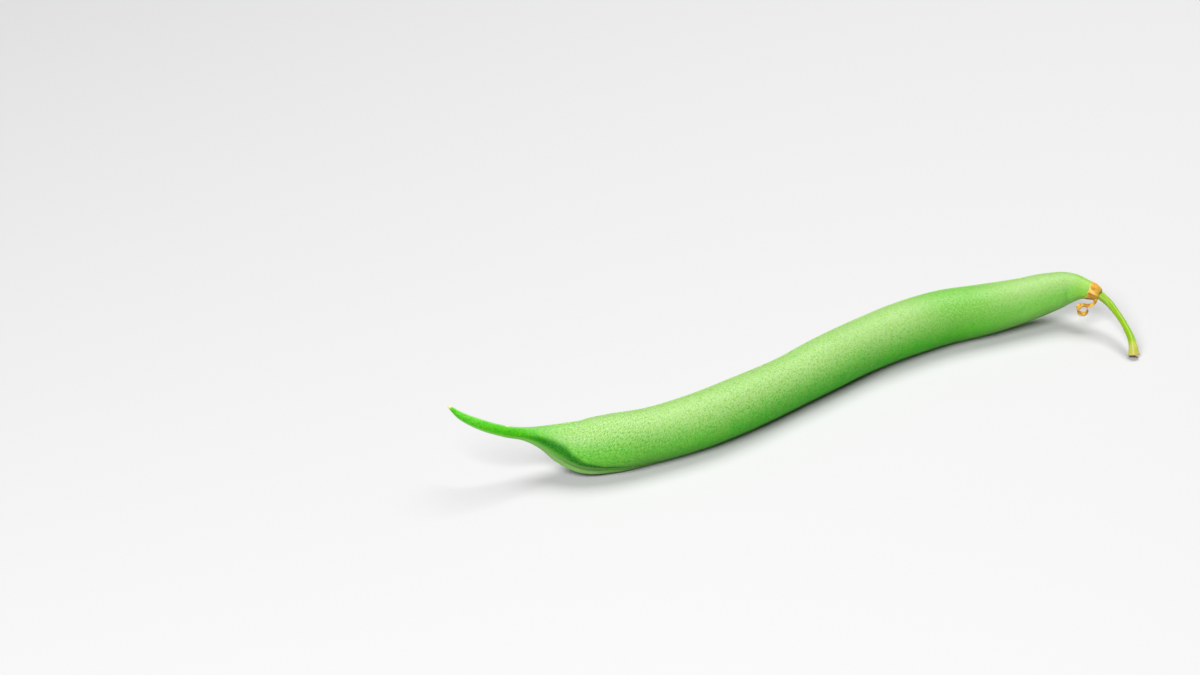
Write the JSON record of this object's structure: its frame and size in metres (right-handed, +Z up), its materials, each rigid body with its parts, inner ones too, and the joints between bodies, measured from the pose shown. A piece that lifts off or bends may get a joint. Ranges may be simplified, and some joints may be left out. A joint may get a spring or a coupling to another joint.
{
  "type": "green bean",
  "caption": "Slender curved green bean pod with a hooked beak, dried calyx, withered bract and cut stalk, lying on its side.",
  "frame": {"origin": "centre of the bounding box on the plane that the bean rests on", "axes": "+X along the pod from the beak to the stalk, +Y to the side that the beak hooks towards, +Z up from the resting plane"},
  "size_m": [0.1313, 0.0311, 0.0138],
  "materials": {
    "pod_skin": "fresh bean skin, matte with a soft sheen and a fine pebbled grain",
    "dried_calyx": "dry papery brown with paler tan edges",
    "dried_bract": "withered tan strand, dry and matte",
    "stalk_green": "fresh yellow-green stalk with fine ridges and a dry cut end"
  },
  "bodies": {
    "root": {"pod": "pod_skin", "calyx": "dried_calyx", "dried_bract": "dried_bract", "stalk": "stalk_green"}
  },
  "joints": []
}
